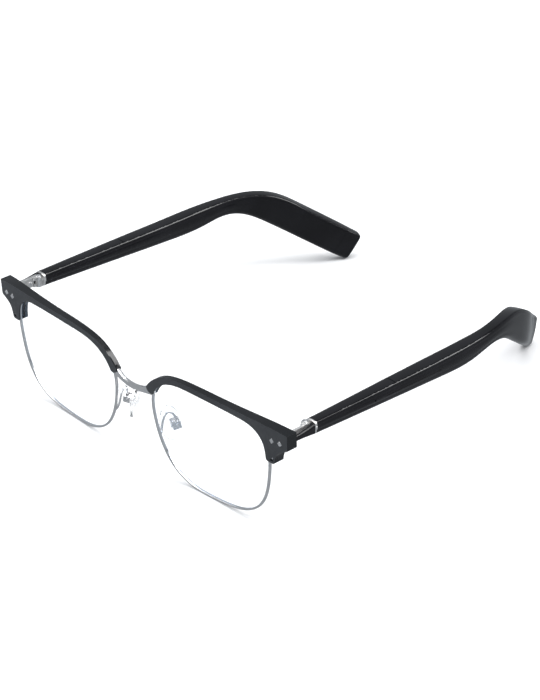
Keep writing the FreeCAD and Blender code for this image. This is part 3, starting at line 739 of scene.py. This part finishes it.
def wire(route, radius, steps=70, around=14):
    """Points and faces of a round wire along a smooth curve through the route."""
    values = np.array([tuple(p) for p in route], float)
    t = np.concatenate(([0.0], np.cumsum(np.linalg.norm(np.diff(values, axis=0), axis=1))))
    slopes = spline_slopes(t, values, False)
    centres = [Vector(spline_at(t, values, slopes, t[-1] * i / steps)) for i in range(steps + 1)]
    points = []
    normal = Vector((1, 0, 0))
    for i, centre in enumerate(centres):
        along = (centres[min(i + 1, steps)] - centres[max(i - 1, 0)]).normalized()
        normal = (normal - along * normal.dot(along)).normalized()
        other = along.cross(normal)
        for k in range(around):
            a = math.tau * k / around
            points.append(centre + (normal * math.cos(a) + other * math.sin(a)) * radius)
    return points, tube_faces(steps + 1, around)


def make_arm(side_name, side):
    node = "pad_arm_" + side_name
    points, faces = wire([*ARM_ROUTE, CORE_CENTRE + PAD_OUT * ARM_REACH], ARM_RADIUS)
    stands_for(mesh_piece("vis_" + node, placed(points, side), faces), node, math.radians(60.0))


for side_name, side in SIDES:
    make_pad(side_name, side)
    make_arm(side_name, side)

# ---- Every CAD node gets its slot's material; the hidden electronics are seen as they are --------------
for node_name, node in NODES.items():
    node.data.materials.clear()
    node.data.materials.append(MATERIALS[SLOT_OF[node_name]])


# ---- Stage, light and camera ---------------------------------------------------------------------------
FLOOR_HALF = 3.0
WORLD_STRENGTH = 0.36
# Each lamp: place and aim in m, width and height in m, power in W.
LAMPS = {
    "overhead": ((0.0, 0.05, 1.1), (0, 0, 0), (1.2, 1.2), 15),
    "shoulder_strip": ((0.66, 0.80, 0.84), (0, 0, 0.02), (0.35, 0.9), 9),
    "front_fill": ((-0.6, -1.0, 0.7), (0, 0, 0.02), (0.8, 0.5), 3),
}
# The camera looks at a point of the wearing frame, from this far, to the wearer's left of straight ahead.
CAMERA_TARGET = Vector((11.68, 52.65, -12.43))
CAMERA_DISTANCE = 913.0
CAMERA_AZIMUTH = math.radians(46.46)
CAMERA_ELEVATION = math.radians(29.73)
CAMERA_ROLL = math.radians(0.25)
CAMERA_LENS = 137.623
CAMERA_SENSOR = 36


def area_light(name, place, aim, size, watts):
    data = bpy.data.lights.new(name, "AREA")
    data.shape = "RECTANGLE"
    data.size, data.size_y = size
    data.energy = watts
    lamp = bpy.data.objects.new(name, data)
    lamp.location = place
    lamp.rotation_euler = (Vector(aim) - Vector(place)).to_track_quat("-Z", "Y").to_euler()
    bpy.context.scene.collection.objects.link(lamp)


def make_floor():
    """Pale paper. It is left out of reflections, which keeps the black parts dark."""
    corners = [Vector((x * FLOOR_HALF, y * FLOOR_HALF, 0)) for x, y in ((-1, -1), (1, -1), (1, 1), (-1, 1))]
    floor = mesh_piece("floor", corners, [(0, 1, 2, 3)])
    material, nodes, links, shader = new_material("floor_paper")
    grain = textured(nodes, links, 25.0)
    shade = tinted(nodes, links, grain, (0.89, 0.89, 0.90), (0.91, 0.91, 0.91))
    links.new(shade, shader.inputs["Base Color"])
    shader.inputs["Roughness"].default_value = 0.9
    shader.inputs["Specular IOR Level"].default_value = 0.1
    floor.data.materials.append(material)
    floor.visible_glossy = False


def make_world():
    world = bpy.data.worlds.new("studio")
    bpy.context.scene.world = world
    world.use_nodes = True
    background = world.node_tree.nodes["Background"]
    background.inputs["Color"].default_value = (0.9, 0.95, 1.0, 1)
    background.inputs["Strength"].default_value = WORLD_STRENGTH


def make_camera():
    level, height = math.cos(CAMERA_ELEVATION), math.sin(CAMERA_ELEVATION)
    back = Vector((math.sin(CAMERA_AZIMUTH) * level, -math.cos(CAMERA_AZIMUTH) * level, height))
    right = Vector((math.cos(CAMERA_AZIMUTH), math.sin(CAMERA_AZIMUTH), 0))
    up = back.cross(right)
    turned_right = right * math.cos(CAMERA_ROLL) + up * math.sin(CAMERA_ROLL)
    turned_up = up * math.cos(CAMERA_ROLL) - right * math.sin(CAMERA_ROLL)
    data = bpy.data.cameras.new("camera")
    data.lens = CAMERA_LENS
    data.sensor_width = CAMERA_SENSOR
    data.clip_start = 0.01
    data.clip_end = 20
    camera = bpy.data.objects.new("camera", data)
    pose = Matrix((turned_right, turned_up, back)).transposed().to_4x4()
    pose.translation = (CAMERA_TARGET + back * CAMERA_DISTANCE) * MM
    camera.matrix_world = LAID @ pose
    bpy.context.scene.collection.objects.link(camera)
    bpy.context.scene.camera = camera


make_floor()
make_world()
make_camera()
for lamp_name, settings in LAMPS.items():
    area_light(lamp_name, *settings)
bpy.context.scene.view_settings.view_transform = "Standard"
